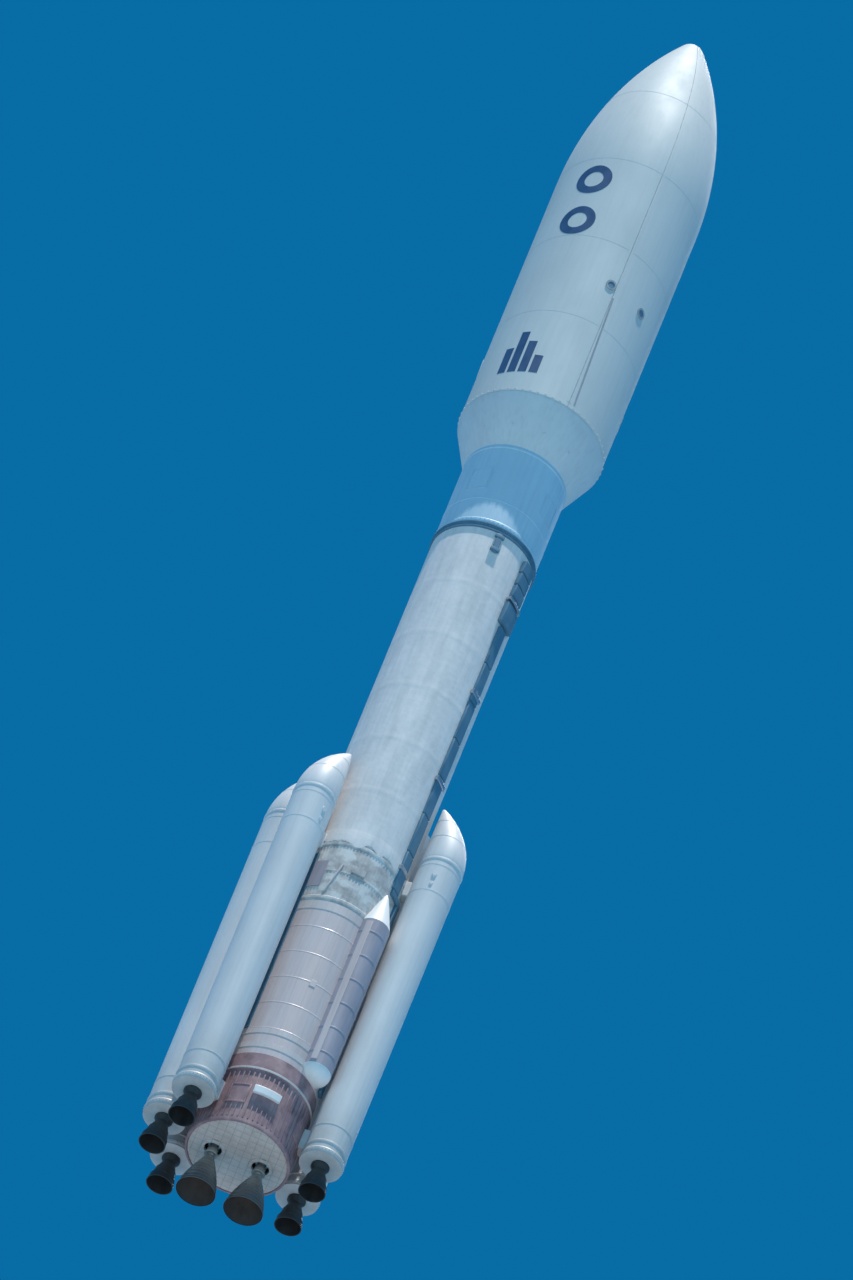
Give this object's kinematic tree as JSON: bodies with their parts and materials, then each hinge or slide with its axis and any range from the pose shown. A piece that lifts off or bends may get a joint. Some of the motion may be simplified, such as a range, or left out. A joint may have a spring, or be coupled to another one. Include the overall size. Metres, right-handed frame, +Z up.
{
  "type": "space rocket, 1:2 scale model",
  "caption": "Two-stage space rocket with strap-on boosters, a flared boat tail, an opening payload fairing and swivelling main engine bells.",
  "frame": {"origin": "middle of the launch mount's plane, at the foot of the core's aft section", "axes": "+Z up the rocket towards its nose; -Y is the side that the picture shows"},
  "size_m": [3.6688, 2.7409, 30.164],
  "materials": {
    "bronze": "satin bronze primer",
    "intertank": "mottled, matt",
    "aft": "satin, heat stained",
    "frost": "frosted white",
    "white": "satin white",
    "fairing": "painted composite",
    "dark": "matt",
    "steel": "brushed",
    "upper_tank": "thin polished",
    "bell": "heat tinted",
    "shield": "insulation blanket",
    "carbon": "carbon composite"
  },
  "bodies": {
    "core_stage": {"core_aft_section": "aft", "core_fuel_tank": "bronze", "core_intertank": "intertank", "core_oxidiser_tank": "frost", "core_separation_ring": "dark", "interstage": "white", "boat_tail": "white", "core_heat_shield": "shield", "core_engine_block": "steel", "upper_stage_tank": "upper_tank", "payload_adapter": "carbon", "feedline_pod_tail": "white", "feedline_pod_body": "bronze", "feedline_pod_nose": "white", "cable_raceway": "dark", "equipment_box": "dark", "umbilical_box": "dark", "aft_cover_box": "white"},
    "gimbal_left": {"main_gimbal_ring_left": "steel"},
    "bell_left": {"main_bell_left": "bell"},
    "gimbal_right": {"main_gimbal_ring_right": "steel"},
    "bell_right": {"main_bell_right": "bell"},
    "booster_1": {"booster_1_nose": "white", "booster_1_case": "white", "booster_1_nozzle": "carbon"},
    "booster_2": {"booster_2_nose": "white", "booster_2_case": "white", "booster_2_nozzle": "carbon"},
    "booster_3": {"booster_3_nose": "white", "booster_3_case": "white", "booster_3_nozzle": "carbon"},
    "booster_4": {"booster_4_nose": "white", "booster_4_case": "white", "booster_4_nozzle": "carbon"},
    "booster_5": {"booster_5_nose": "white", "booster_5_case": "white", "booster_5_nozzle": "carbon"},
    "fairing_left": {"fairing_half_left": "fairing"},
    "fairing_right": {"fairing_half_right": "fairing"}
  },
  "joints": [
    {"name": "yaw_left", "type": "hinge", "parent": "core_stage", "child": "gimbal_left", "pos_m": [-0.45, 0, 0.1], "axis": [0, 1, 0], "range_deg": [-8, 8]},
    {"name": "pitch_left", "type": "hinge", "parent": "gimbal_left", "child": "bell_left", "pos_m": [-0.45, 0, 0.1], "axis": [1, 0, 0], "range_deg": [-8, 8]},
    {"name": "yaw_right", "type": "hinge", "parent": "core_stage", "child": "gimbal_right", "pos_m": [0.45, 0, 0.1], "axis": [0, 1, 0], "range_deg": [-8, 8]},
    {"name": "pitch_right", "type": "hinge", "parent": "gimbal_right", "child": "bell_right", "pos_m": [0.45, 0, 0.1], "axis": [1, 0, 0], "range_deg": [-8, 8]},
    {"name": "release_booster_1", "type": "slide", "parent": "core_stage", "child": "booster_1", "axis": [-0.7986, -0.6018, 0], "range_m": [0, 1]},
    {"name": "release_booster_2", "type": "slide", "parent": "core_stage", "child": "booster_2", "axis": [-0.9986, 0.0523, 0], "range_m": [0, 1]},
    {"name": "release_booster_3", "type": "slide", "parent": "core_stage", "child": "booster_3", "axis": [-0.7314, 0.682, 0], "range_m": [0, 1]},
    {"name": "release_booster_4", "type": "slide", "parent": "core_stage", "child": "booster_4", "axis": [0.9744, -0.225, 0], "range_m": [0, 1]},
    {"name": "release_booster_5", "type": "slide", "parent": "core_stage", "child": "booster_5", "axis": [0.866, 0.5, 0], "range_m": [0, 1]},
    {"name": "release_fairing_left", "type": "slide", "parent": "core_stage", "child": "fairing_left", "axis": [-0.9659, -0.2588, 0], "range_m": [0, 1.5]},
    {"name": "release_fairing_right", "type": "slide", "parent": "core_stage", "child": "fairing_right", "axis": [0.9659, 0.2588, 0], "range_m": [0, 1.5]}
  ]
}
